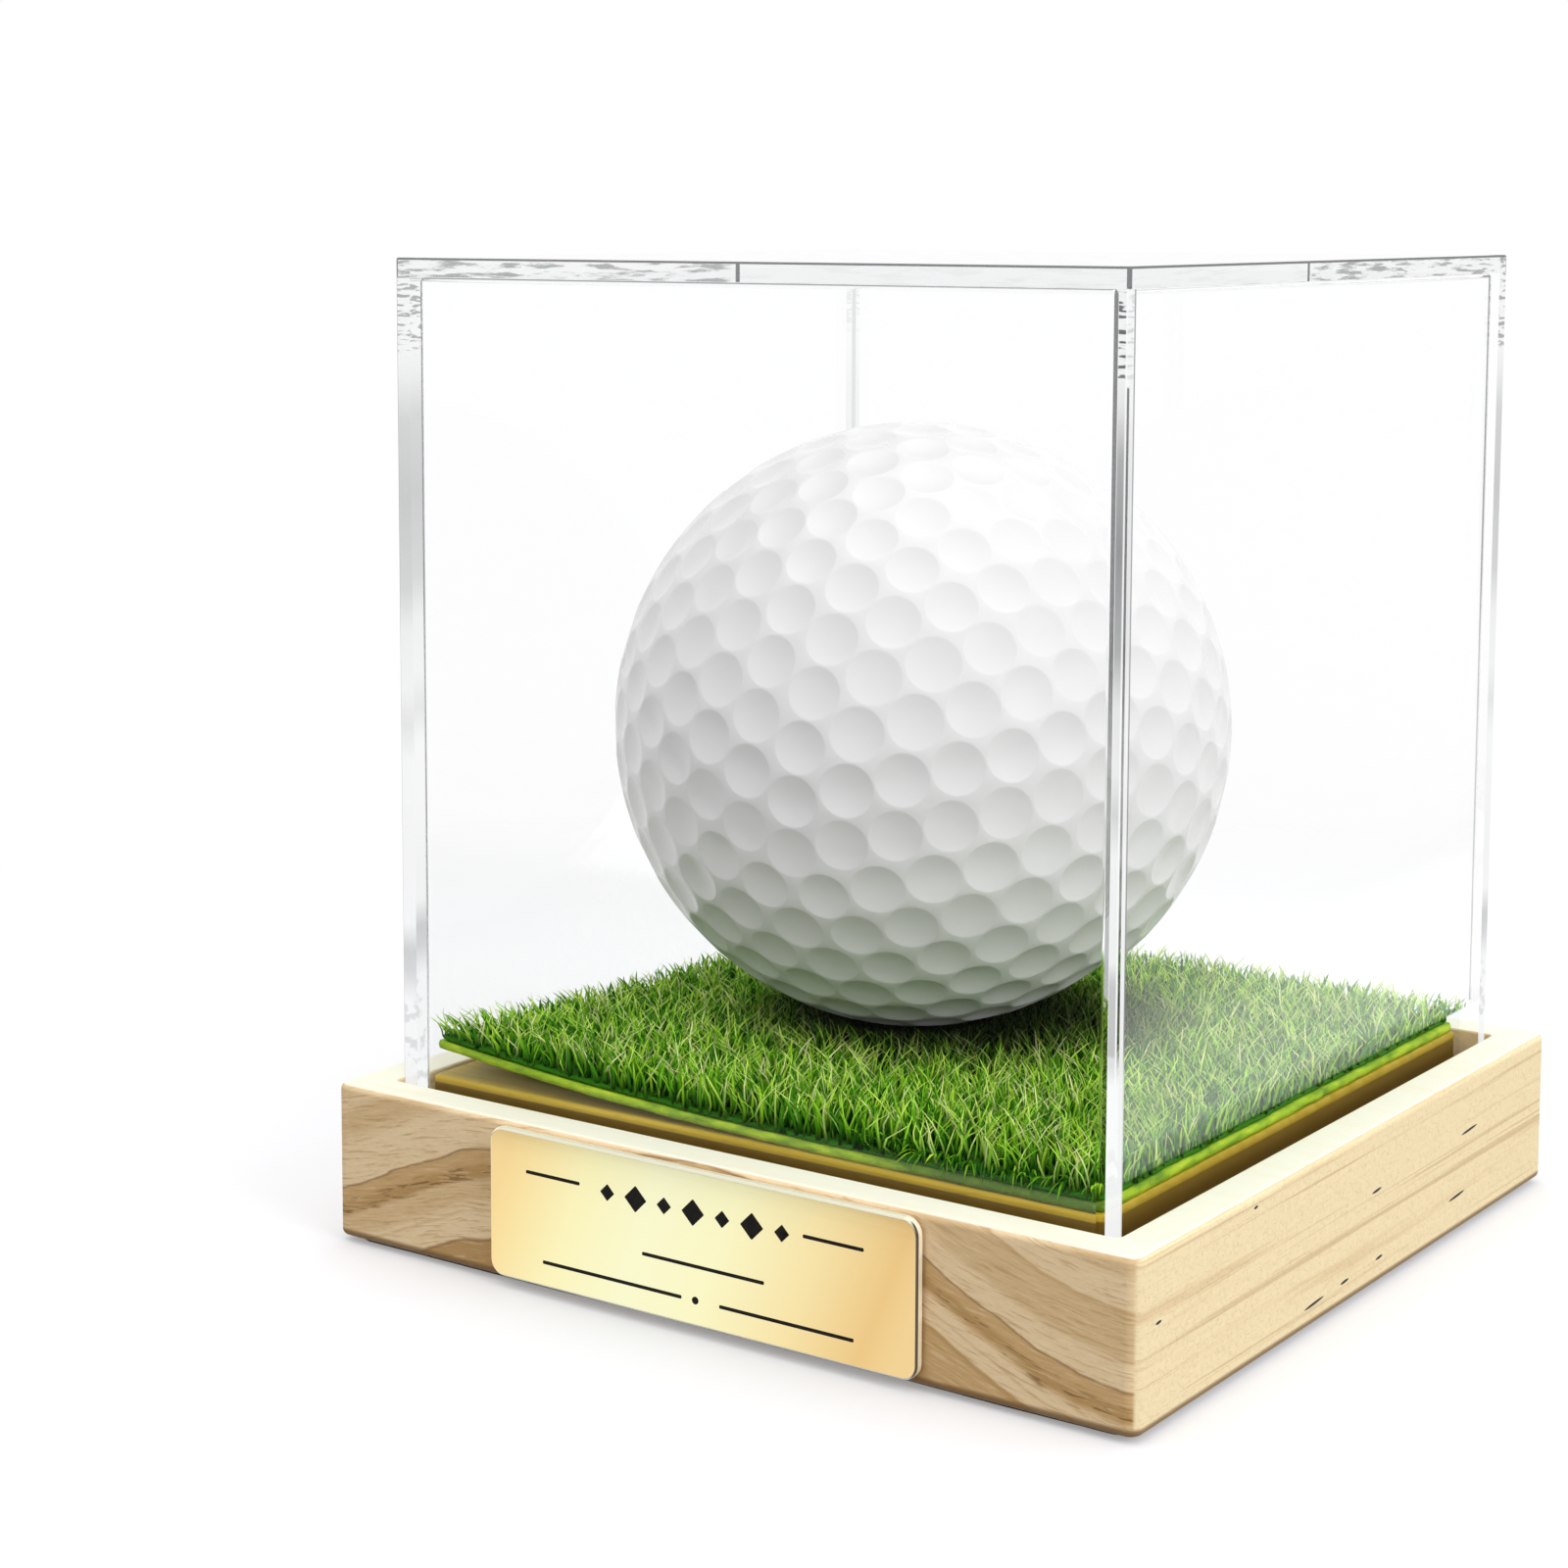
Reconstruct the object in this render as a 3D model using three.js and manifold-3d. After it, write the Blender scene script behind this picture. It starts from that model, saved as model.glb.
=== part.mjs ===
// Golf ball display case: a wooden base with a pocket, a board and a turf mat in the pocket,
// a golf ball on the turf, a clear cover over them that lifts off, and a brass plaque in front.
// Millimetres. The origin is the centre of the underside, +Z is up and the plaque faces -Y.
import * as THREE from 'three';
import { ConvexGeometry } from 'three/addons/geometries/ConvexGeometry.js';
import { mergeVertices } from 'three/addons/utils/BufferGeometryUtils.js';
import Module from 'manifold-3d';

const wasm = await Module();
wasm.setup();

// Ball
const ballDiameter = 42.67;
const dimpleDiameter = 3.55;
const dimpleDepth = 0.3;
const dimpleSteps = [6, 1];
const dimpleRimPoints = 6;
const settleRounds = 60;
const settleShare = 0.12;
const settleReachShare = 3;

// Room between the ball and the cover, and where the ball lies in that room
const sideRoom = 5.5;
const headRoom = 10.3;
const ballAsideShare = -0.48;
const ballForwardShare = -0.29;

// Direction that one patch of dimples faces, and how its rows rise to the right, in degrees
const patchTurnAngle = -57.8;
const patchRiseAngle = 9.3;
const rowRiseAngle = 13;

// Cover
const acrylicThickness = 1.3;
const grooveClearance = 0.4;

// Base block and what is under it
const lipWidth = 2.95;
const floorThickness = 7.4;
const pocketDepth = 3.5;
const blockCornerRound = 0.9;
const blockEdgeRound = 0.6;
const feltThickness = 0.4;
const feltInset = 1;

// Board in the pocket
const boardClearance = 0.3;
const boardProud = 0.4;
const boardCornerRound = 0.5;
const boardEdgeRound = 0.3;

// Turf mat, on a patch of tape that ends short of the mat's curled corner
const turfInset = 0.2;
const tapeThickness = 0.2;
const tapeInset = 9;
const backingThickness = 0.5;
const layerGap = 0.1;
const pileBaseThickness = 0.3;
const pressedPile = 1.5;
const curlHeight = 1.7;
const curlReach = 24;

// Blades of the turf, counted along each side of a quarter of the mat
const bladeCount = 10;
const bladeRadius = 0.4;
const bladeHeight = 2.9;
const bladeSink = 0.15;
const ballClearance = 0.3;
const bladeHeightShares = { least: 0.75, most: 1.1 };
const bladeJitterShare = 0.13;
const bladeLeanShares = { least: 0.12, most: 0.3 };
const bladeBendShares = { up: 0.55, out: 0.35, width: 0.8 };

// Plaque
const plaqueWidth = 33.8;
const plaqueThickness = 0.6;
const plaqueCornerRound = 1.1;
const plaqueEdgeRound = 0.12;
const plaqueTopMargin = 0.25;
const plaqueBottomMargin = 0.4;
const plaqueTapeThickness = 0.2;
const plaqueTapeInset = 1.5;

// Fineness, and the distance that a cut runs past the face it opens
const roundSteps = 3;
const curlSteps = 5;
const overrun = 1;

// Sides, from the ball outwards
const ballRadius = ballDiameter / 2;
const coverInside = ballDiameter + 2 * sideRoom;
const coverSide = coverInside + 2 * acrylicThickness;
const pocketSide = coverSide + 2 * grooveClearance;
const baseSide = pocketSide + 2 * lipWidth;
const boardSide = coverInside - 2 * boardClearance;
const turfSide = boardSide - 2 * turfInset;

// Heights, from the underside up
const blockBottom = feltThickness;
const pocketFloor = blockBottom + floorThickness;
const lipTop = pocketFloor + pocketDepth;
const boardTop = lipTop + boardProud;
const tapeTop = boardTop + tapeThickness;
const backingTop = tapeTop + backingThickness;
const pileBottom = backingTop + layerGap;
const pileTop = pileBottom + pileBaseThickness;
const ballBottom = pileTop + pressedPile;
const ballCentre = new THREE.Vector3(
  ballAsideShare * sideRoom,
  ballForwardShare * sideRoom,
  ballBottom + ballRadius,
);
const coverCeiling = ballBottom + ballDiameter + headRoom;

// Surfaces
function surface(color, roughness, metalness = 0, opacity = 1) {
  return new THREE.MeshStandardMaterial({
    color,
    roughness,
    metalness,
    opacity,
    transparent: opacity < 1,
  });
}
const materials = {
  wood: surface('#d9bd92', 0.6),
  board: surface('#a8843c', 0.35),
  felt: surface('#1f1c1a', 0.95),
  tape: surface('#d8d4c4', 0.7),
  backing: surface('#8fbf1f', 0.8),
  pile: surface('#3f7d22', 0.75),
  ball: surface('#f1f3f1', 0.28),
  plaque: surface('#e6c377', 0.3, 0.9),
  clear: surface('#eef3f3', 0.05, 0, 0.25),
};

const design = new THREE.Group();

function addPiece(name, geometry, material) {
  const piece = new THREE.Mesh(geometry, material.clone());
  piece.name = name;
  design.add(piece);
  return piece;
}

// Solids for joins and cuts
function solidFrom(geometry) {
  const bare = geometry.clone();
  bare.deleteAttribute('normal');
  bare.deleteAttribute('uv');
  const merged = mergeVertices(bare);
  return new wasm.Manifold(new wasm.Mesh({
    numProp: 3,
    vertProperties: new Float32Array(merged.attributes.position.array),
    triVerts: new Uint32Array(merged.index.array),
  }));
}

function geometryFrom(solid) {
  const mesh = solid.getMesh();
  const geometry = new THREE.BufferGeometry();
  geometry.setAttribute('position', new THREE.BufferAttribute(mesh.vertProperties, 3));
  geometry.setIndex(new THREE.BufferAttribute(mesh.triVerts, 1));
  geometry.computeVertexNormals();
  return geometry;
}

// The same random numbers on every run
function random(low, high) {
  return low + (high - low) * THREE.MathUtils.seededRandom();
}

// A block or plate standing on z = bottom, with rounded corners and eased edges
function roundedOutline(width, depth, round) {
  const x = width / 2 - round;
  const y = depth / 2 - round;
  const quarter = Math.PI / 2;
  const outline = new THREE.Shape();
  outline.absarc(x, -y, round, -quarter, 0);
  outline.absarc(x, y, round, 0, quarter);
  outline.absarc(-x, y, round, quarter, 2 * quarter);
  outline.absarc(-x, -y, round, 2 * quarter, 3 * quarter);
  outline.closePath();
  return outline;
}

function roundedBlock(width, depth, height, bottom, cornerRound, edgeRound) {
  const block = new THREE.ExtrudeGeometry(roundedOutline(width, depth, cornerRound), {
    depth: height - 2 * edgeRound,
    bevelEnabled: edgeRound > 0,
    bevelThickness: edgeRound,
    bevelSize: edgeRound,
    bevelOffset: -edgeRound,
    bevelSegments: roundSteps,
    curveSegments: roundSteps,
  });
  block.translate(0, 0, bottom + edgeRound);
  return block;
}

function box(width, depth, height, x, y, bottom) {
  const block = new THREE.BoxGeometry(width, depth, height);
  block.translate(x, y, bottom + height / 2);
  return block;
}

// Wooden base, with the pocket that takes the board and the cover's foot
function buildBase() {
  const blockHeight = lipTop - blockBottom;
  const block = roundedBlock(
    baseSide, baseSide, blockHeight, blockBottom, blockCornerRound, blockEdgeRound);
  const pocket = box(pocketSide, pocketSide, pocketDepth + overrun, 0, 0, pocketFloor);
  addPiece('base_block', geometryFrom(solidFrom(block).subtract(solidFrom(pocket))), materials.wood);

  const feltSide = baseSide - 2 * feltInset;
  addPiece('base_felt', roundedBlock(feltSide, feltSide, feltThickness, 0, blockCornerRound, 0),
    materials.felt);

  const boardThickness = boardTop - pocketFloor;
  addPiece('plinth_board', roundedBlock(
    boardSide, boardSide, boardThickness, pocketFloor, boardCornerRound, boardEdgeRound),
  materials.board);
}

// The mat's front left corner curls up, most at its tip
function curlAt(x, y) {
  const fromTip = (x + y + turfSide) / Math.SQRT2;
  const share = Math.max(0, 1 - fromTip / curlReach);
  return curlHeight * share * share;
}

function curledSheet(left, right, front, back, bottom, thickness, steps) {
  const sheet = new THREE.BoxGeometry(right - left, back - front, thickness, steps, steps, 1);
  sheet.translate((left + right) / 2, (front + back) / 2, bottom + thickness / 2);
  const place = sheet.attributes.position;
  for (let i = 0; i < place.count; i += 1) {
    place.setZ(i, place.getZ(i) + curlAt(place.getX(i), place.getY(i)));
  }
  return sheet;
}

// One blade: three sides, bent part of the way up and pointed at its tip
function bladeAt(x, y, root, height, lean, turn) {
  const points = [];
  const levels = [
    { up: -bladeSink, out: 0, width: 1 },
    { up: height * bladeBendShares.up, out: bladeBendShares.out, width: bladeBendShares.width },
  ];
  for (const level of levels) {
    for (let side = 0; side < 3; side += 1) {
      const angle = turn + (side * 2 * Math.PI) / 3;
      points.push(
        x + lean.x * level.out + bladeRadius * level.width * Math.cos(angle),
        y + lean.y * level.out + bladeRadius * level.width * Math.sin(angle),
        root + level.up,
      );
    }
  }
  points.push(x + lean.x, y + lean.y, root + height);
  const blade = new THREE.BufferGeometry();
  blade.setAttribute('position', new THREE.Float32BufferAttribute(points, 3));
  const faces = [0, 2, 1];
  for (let side = 0; side < 3; side += 1) {
    const next = (side + 1) % 3;
    faces.push(side, next, next + 3, side, next + 3, side + 3, side + 3, next + 3, 6);
  }
  blade.setIndex(faces);
  return blade;
}

// Height of a blade, less where the ball presses the pile down
function heightUnderBall(x, y, lean, root, wanted) {
  const rootDistance = Math.hypot(x - ballCentre.x, y - ballCentre.y);
  const tipDistance = Math.hypot(x + lean.x - ballCentre.x, y + lean.y - ballCentre.y);
  const nearest = Math.max(0, Math.min(rootDistance, tipDistance) - bladeRadius);
  if (nearest >= ballRadius) {
    return wanted;
  }
  const ballUnderside = ballCentre.z - Math.sqrt(ballRadius ** 2 - nearest ** 2);
  return Math.min(wanted, ballUnderside - ballClearance - root);
}

// A quarter of the mat: its slice of the backing cloth, with a blade in each cell of a grid
function buildPile(name, left, front) {
  const quarter = turfSide / 2;
  const cell = quarter / bladeCount;
  const jitter = bladeJitterShare * cell;
  let pile = solidFrom(curledSheet(
    left, left + quarter, front, front + quarter, pileBottom, pileBaseThickness, curlSteps));
  for (let row = 0; row < bladeCount; row += 1) {
    for (let column = 0; column < bladeCount; column += 1) {
      const x = left + (column + 0.5) * cell + random(-jitter, jitter);
      const y = front + (row + 0.5) * cell + random(-jitter, jitter);
      const leanAngle = random(0, 2 * Math.PI);
      const leanLength = cell * random(bladeLeanShares.least, bladeLeanShares.most);
      const lean = { x: leanLength * Math.cos(leanAngle), y: leanLength * Math.sin(leanAngle) };
      const root = pileTop + curlAt(x, y);
      const wanted = bladeHeight * random(bladeHeightShares.least, bladeHeightShares.most);
      const height = heightUnderBall(x, y, lean, root, wanted);
      pile = pile.add(solidFrom(bladeAt(x, y, root, height, lean, random(0, 2 * Math.PI))));
    }
  }
  addPiece(name, geometryFrom(pile), materials.pile);
}

function buildTurf() {
  const half = turfSide / 2;
  const tapeSide = turfSide - 2 * tapeInset;
  addPiece('turf_tape', box(tapeSide, tapeSide, tapeThickness, 0, 0, boardTop), materials.tape);
  addPiece('turf_backing',
    curledSheet(-half, half, -half, half, tapeTop, backingThickness, 2 * curlSteps),
    materials.backing);
  buildPile('turf_pile_front_left', -half, -half);
  buildPile('turf_pile_front_right', 0, -half);
  buildPile('turf_pile_back_left', -half, 0);
  buildPile('turf_pile_back_right', 0, 0);
}

// Centres of the dimples on a unit ball: a triangular lattice wrapped round an icosahedron,
// each step of which goes so many places along one row and so many along the next
function latticeCentres() {
  const [along, aside] = dimpleSteps;
  const triangles = along * along + along * aside + aside * aside;
  const corners = new THREE.IcosahedronGeometry(1).attributes.position;
  const centres = [];
  const same = 1e-6;
  for (let face = 0; face < corners.count; face += 3) {
    const [a, b, c] = [0, 1, 2].map((k) => new THREE.Vector3().fromBufferAttribute(corners, face + k));
    for (let i = -aside; i <= along; i += 1) {
      for (let j = 0; j <= along + aside; j += 1) {
        const towardB = (i * (along + aside) + j * aside) / triangles;
        const towardC = (along * j - aside * i) / triangles;
        if (towardB < -same || towardC < -same || towardB + towardC > 1 + same) {
          continue;
        }
        const centre = new THREE.Vector3()
          .addScaledVector(a, 1 - towardB - towardC)
          .addScaledVector(b, towardB)
          .addScaledVector(c, towardC)
          .normalize();
        if (centres.every((other) => other.distanceToSquared(centre) > same)) {
          centres.push(centre);
        }
      }
    }
  }
  return centres;
}

// The centres push each other apart until they are evenly spaced
function settledCentres() {
  let centres = latticeCentres();
  const spacing = Math.sqrt((8 * Math.PI) / (Math.sqrt(3) * centres.length));
  const step = settleShare * spacing ** 4;
  for (let round = 0; round < settleRounds; round += 1) {
    centres = centres.map((centre) => {
      const push = new THREE.Vector3();
      for (const other of centres) {
        const gap = centre.distanceTo(other);
        if (gap > 0 && gap < settleReachShare * spacing) {
          push.addScaledVector(centre.clone().sub(other), gap ** -4);
        }
      }
      return centre.clone().addScaledVector(push, step).normalize();
    });
  }
  return centres;
}

function nearestTo(place, centres) {
  const others = centres.filter((other) => other !== place);
  others.sort((one, two) => one.distanceToSquared(place) - two.distanceToSquared(place));
  return others[0];
}

// Turns the ball so that a patch between the lattice's corners faces one way, with level rows
function patchTurn(centres) {
  const corners = new THREE.IcosahedronGeometry(1).attributes.position;
  const middle = new THREE.Vector3();
  for (let k = 0; k < 3; k += 1) {
    middle.add(new THREE.Vector3().fromBufferAttribute(corners, k));
  }
  const patch = nearestTo(middle.normalize(), centres);
  const row = nearestTo(patch, centres).clone().sub(patch).projectOnPlane(patch).normalize();
  const from = new THREE.Matrix4().makeBasis(patch, row, patch.clone().cross(row));

  const azimuth = THREE.MathUtils.degToRad(patchTurnAngle);
  const elevation = THREE.MathUtils.degToRad(patchRiseAngle);
  const facing = new THREE.Vector3(
    Math.cos(azimuth) * Math.cos(elevation), Math.sin(azimuth) * Math.cos(elevation),
    Math.sin(elevation));
  const right = new THREE.Vector3(0, 0, 1).cross(facing).normalize();
  right.applyAxisAngle(facing, THREE.MathUtils.degToRad(rowRiseAngle));
  const to = new THREE.Matrix4().makeBasis(facing, right, facing.clone().cross(right));
  return to.multiply(from.transpose());
}

// Rim points and centres span a faceted ball, and then each centre is pushed in
function buildBall() {
  const centres = settledCentres();
  const turn = patchTurn(centres);
  const turned = centres.map((centre) => centre.clone().applyMatrix4(turn));
  const rimAngle = Math.asin(dimpleDiameter / ballDiameter);
  const points = [];
  for (const centre of turned) {
    points.push(centre.clone().multiplyScalar(ballRadius));
    const toNeighbour = nearestTo(centre, turned).clone().sub(centre).projectOnPlane(centre);
    const first = toNeighbour.normalize().applyAxisAngle(centre, Math.PI / dimpleRimPoints);
    for (let k = 0; k < dimpleRimPoints; k += 1) {
      const outward = first.clone().applyAxisAngle(centre, (k * 2 * Math.PI) / dimpleRimPoints);
      const rim = centre.clone().multiplyScalar(Math.cos(rimAngle));
      rim.addScaledVector(outward, Math.sin(rimAngle));
      points.push(rim.multiplyScalar(ballRadius));
    }
  }
  const ball = new ConvexGeometry(points);
  const place = ball.attributes.position;
  const corner = new THREE.Vector3();
  const nearCentre = Math.cos(rimAngle / 2);
  for (let i = 0; i < place.count; i += 1) {
    corner.fromBufferAttribute(place, i);
    const facing = corner.clone().normalize();
    if (turned.some((centre) => centre.dot(facing) > nearCentre)) {
      corner.setLength(ballRadius - dimpleDepth);
    }
    place.setXYZ(i, corner.x, corner.y, corner.z);
  }
  ball.computeVertexNormals();
  const piece = addPiece('golf_ball', ball, materials.ball);
  piece.position.copy(ballCentre);
}

// Clear cover: a top plate on four walls, the front and back walls full width
function buildCover() {
  const wallHeight = coverCeiling - pocketFloor;
  const wallPlace = (coverSide - acrylicThickness) / 2;
  const plate = box(coverSide, coverSide, acrylicThickness, 0, 0, coverCeiling);
  addPiece('cover_top', plate, materials.clear);
  for (const [name, side] of [['cover_front', -1], ['cover_back', 1]]) {
    const wall = box(coverSide, acrylicThickness, wallHeight, 0, side * wallPlace, pocketFloor);
    addPiece(name, wall, materials.clear);
  }
  for (const [name, side] of [['cover_left', -1], ['cover_right', 1]]) {
    const wall = box(acrylicThickness, coverInside, wallHeight, side * wallPlace, 0, pocketFloor);
    addPiece(name, wall, materials.clear);
  }
}

// Plaque on its tape, upright on the front face
function buildPlaque() {
  const plaqueBottom = blockBottom + plaqueBottomMargin;
  const plaqueHeight = lipTop - plaqueTopMargin - plaqueBottom;
  const middle = plaqueBottom + plaqueHeight / 2;
  const tape = roundedBlock(plaqueWidth - 2 * plaqueTapeInset, plaqueHeight - 2 * plaqueTapeInset,
    plaqueTapeThickness, 0, plaqueCornerRound, 0);
  const plate = roundedBlock(plaqueWidth, plaqueHeight, plaqueThickness, plaqueTapeThickness,
    plaqueCornerRound, plaqueEdgeRound);
  for (const [name, geometry, material] of [
    ['plaque_tape', tape, materials.tape],
    ['plaque', plate, materials.plaque],
  ]) {
    geometry.rotateX(Math.PI / 2);
    geometry.translate(0, -baseSide / 2, middle);
    addPiece(name, geometry, material);
  }
}

buildBase();
buildTurf();
buildBall();
buildCover();
buildPlaque();

export default design;
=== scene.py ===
# Golf ball display case: a clear cover over a golf ball on a turf mat, on a wooden base with a
# plaque. Metres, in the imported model's frame: the origin is under the middle of the base, +Z is
# up and the plaque faces -Y.
import math

import bmesh
import bpy
import numpy as np
from mathutils import Matrix, Vector


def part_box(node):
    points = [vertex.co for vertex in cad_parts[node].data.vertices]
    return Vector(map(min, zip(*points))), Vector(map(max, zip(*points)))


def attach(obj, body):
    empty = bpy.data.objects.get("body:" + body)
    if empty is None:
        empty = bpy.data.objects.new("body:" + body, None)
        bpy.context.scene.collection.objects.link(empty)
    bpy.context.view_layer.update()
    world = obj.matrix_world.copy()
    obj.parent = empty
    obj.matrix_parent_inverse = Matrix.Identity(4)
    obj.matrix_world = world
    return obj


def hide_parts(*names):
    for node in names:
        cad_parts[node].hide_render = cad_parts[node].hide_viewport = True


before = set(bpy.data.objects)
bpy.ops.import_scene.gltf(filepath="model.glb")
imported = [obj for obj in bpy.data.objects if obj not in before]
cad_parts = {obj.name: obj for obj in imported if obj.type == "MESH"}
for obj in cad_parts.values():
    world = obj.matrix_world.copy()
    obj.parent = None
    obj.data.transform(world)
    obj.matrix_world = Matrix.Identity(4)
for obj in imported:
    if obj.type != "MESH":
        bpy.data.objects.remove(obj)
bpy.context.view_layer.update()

mm = 0.001

# Camera, as the photograph was taken: place, degrees, lens in mm, and the view's middle in pixels
camera_place = Vector((114.82, -188.47, 71.86)) * mm
camera_tilt_down = 6.365
camera_turn = 36.325
camera_lens = 71.94
photo_side = 1600
photo_middle_x = 706.6
photo_middle_y = 569.7

# Lamp, aimed near the ball's middle
lamp_aim = Vector((0, 0, 0.03))
lamp_direction = Vector((0.92, -0.15, 0.36))
lamp_distance = 0.6
lamp_size = 0.35
lamp_level = 0.38

# Wooden block
groove_clearance = 0.4 * mm
block_corner_round = 0.9 * mm
block_edge_round = 0.45 * mm
pocket_corner_round = 0.5 * mm
lip_inner_round = 0.2 * mm
pocket_fillet = 0.15 * mm

# Board in the pocket
board_corner_round = 0.5 * mm
board_edge_round = 0.3 * mm

# Cover
acrylic_thickness = 1.3 * mm
cover_outer_round = 0.2 * mm
cover_outer_ease = 0.14 * mm
cover_inner_round = 0.45 * mm
cover_inner_fillet = 0.4 * mm
cover_foot_ease = 0.08 * mm
acrylic_ior = 1.30
trapped_bounces = 2

# Felt, and the mat's backing. The mat's left corner curls up, and its edges sag beyond the tape
felt_corner_round = 0.9 * mm
sheet_raggedness = 0.1 * mm
mat_corner_round = 0.3 * mm
backing_thickness = 0.56 * mm
curl_height = 1.7 * mm
curl_reach = 24 * mm
edge_sag = 0.15 * mm
sag_start = 0.8
sheet_cells = 110
felt_cells = 60

# Turf: broad blades, and thin pale strands among them. It is shorter at the left and the back
turf_seed = 11
pile_base_thickness = 0.3 * mm
thatch_inset = 0.25 * mm
thatch_lift = 0.03 * mm
# The thatch's tone, height along a blade and kind; its low height gives it the blades' painted
# root shade
thatch_tint = (0.3, 0.22, 0.0, 1.0)
blade_spacing = 0.45 * mm
blade_inset = 0.12 * mm
blade_width = 0.31 * mm
blade_height = 2.7 * mm
blade_least_height = 0.5 * mm
blade_reach_share = 0.42
blade_sway = 0.14 * mm
blade_arch = 0.1
strand_share = 0.4
strand_width = 0.2 * mm
strand_height = 3.1 * mm
strand_reach_share = 0.85
strand_sway = 0.5 * mm
strand_arch = 0.35
stalk_level_shares = [0, 0.2, 0.42, 0.64, 0.84]
stalk_width_shares = [1, 1, 0.88, 0.68, 0.42]
stalk_back_share = 0.4
lean_power = 1.7
root_sink = 0.1 * mm
root_jitter = 0.45
width_spread = (0.75, 1.25)
height_spread = (0.68, 1.12)
reach_spread = (0.2, 1)
swing_spread = (0.8, 1.9)
hang_spread = (0.6, 1)
left_short = 0.5
back_short = 0.35

# Tufts, the blades that lean at the mat's edges, at its curled tip and round the ball's foot,
# and those that hang over the front edge near its right end
tuft_spacing = 1.5 * mm
tuft_jitter = 0.35
tuft_tone_range = 0.25
tuft_pull = 0.3
tuft_spread = 0.9
tuft_edge = 2 * mm
edge_start = 0.94
right_back_lean = 0.3 * mm
left_front_lean = 0.7 * mm
tip_reach = 6 * mm
tip_lean = 0.7 * mm
foot_reach = 9 * mm
foot_lean = 1.4 * mm
fringe_row = 0.93
fringe_row_soft = 0.02
fringe_start = 6 * mm
fringe_soft = 7 * mm
fringe_drop = 0.9 * mm
fringe_out = 0.35 * mm
ball_clearance = 0.12 * mm
wall_clearance = 0.12 * mm

# How far round the ball's foot a shadow is painted on the turf, in mm
painted_shadow_reach = 18
painted_shadow_core = 6.3

# Ball
dimple_diameter = 3.82 * mm
dimple_depth = 0.3 * mm
dimple_softness = 0.02 * mm
dimple_sides = 30
dimple_ring_shares = [1.02, 1.0, 0.975, 0.94, 0.87, 0.73, 0.53, 0.28]
neighbour_share = 0.495

# Plaque
plaque_corner_round = 1.1 * mm
plaque_back_round = 0.05 * mm
plaque_bevel = 0.13 * mm
plaque_bevel_ease = 0.05 * mm
bevel_ease_share = 0.4
enamel_proud = 0.03 * mm
enamel_sunk = 0.06 * mm
enamel_ease = 0.01 * mm
enamel_line_width = 0.23 * mm

# Fineness of rounded corners and edges
corner_steps = 8
edge_steps = 5


# Shader nodes

white = (1.0, 1.0, 1.0)


class Socket:
    """One output of a node. Sums written on it add Math nodes"""

    def __init__(self, finish, output):
        self.finish = finish
        self.output = output

    def math(self, operation, first, second):
        return self.finish.node("Math", {0: first, 1: second}, operation=operation)

    def __add__(self, other):
        return self.math("ADD", self, other)

    def __radd__(self, other):
        return self.math("ADD", other, self)

    def __sub__(self, other):
        return self.math("SUBTRACT", self, other)

    def __rsub__(self, other):
        return self.math("SUBTRACT", other, self)

    def __mul__(self, other):
        return self.math("MULTIPLY", self, other)

    def __rmul__(self, other):
        return self.math("MULTIPLY", other, self)

    def __truediv__(self, other):
        return self.math("DIVIDE", self, other)

    def __abs__(self):
        return self.math("ABSOLUTE", self, 0.0)


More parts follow.
